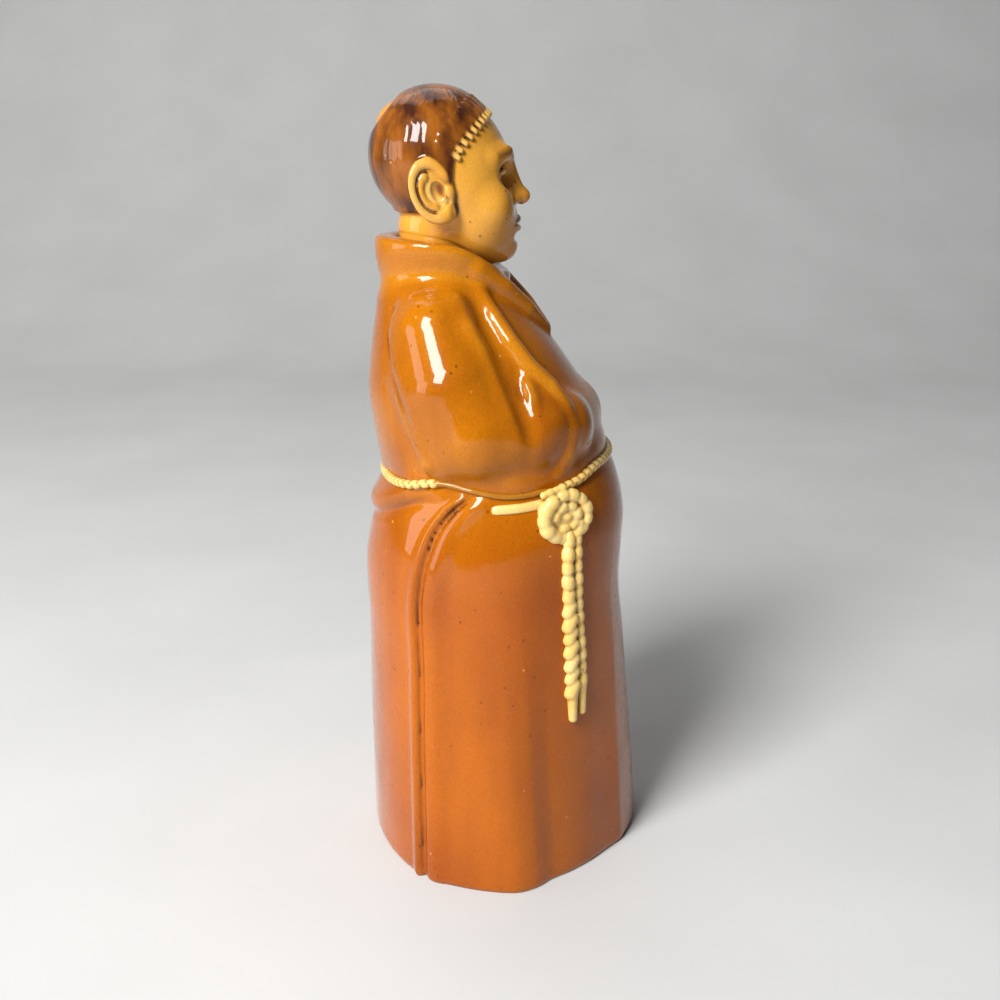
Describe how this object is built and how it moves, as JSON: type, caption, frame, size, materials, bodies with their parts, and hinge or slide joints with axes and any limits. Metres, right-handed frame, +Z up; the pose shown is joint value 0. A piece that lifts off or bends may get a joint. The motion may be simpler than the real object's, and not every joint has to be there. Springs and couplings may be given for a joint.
{
  "type": "figural decanter",
  "caption": "Hollow glazed ceramic decanter in the form of a standing monk with a rope belt; the head lifts off as the stopper.",
  "frame": {"origin": "middle of the underside, on the surface that the figure stands on", "axes": "+Z up; the figure faces -Y; its right side is toward -X"},
  "size_m": [0.1094, 0.0976, 0.26],
  "materials": {
    "robe_glaze": "glossy amber-brown glaze with a cream rope belt",
    "head_glaze": "glossy golden ochre glaze, dark brown on the hair"
  },
  "bodies": {
    "root": {"robe": "robe_glaze", "head": "head_glaze"}
  },
  "joints": []
}
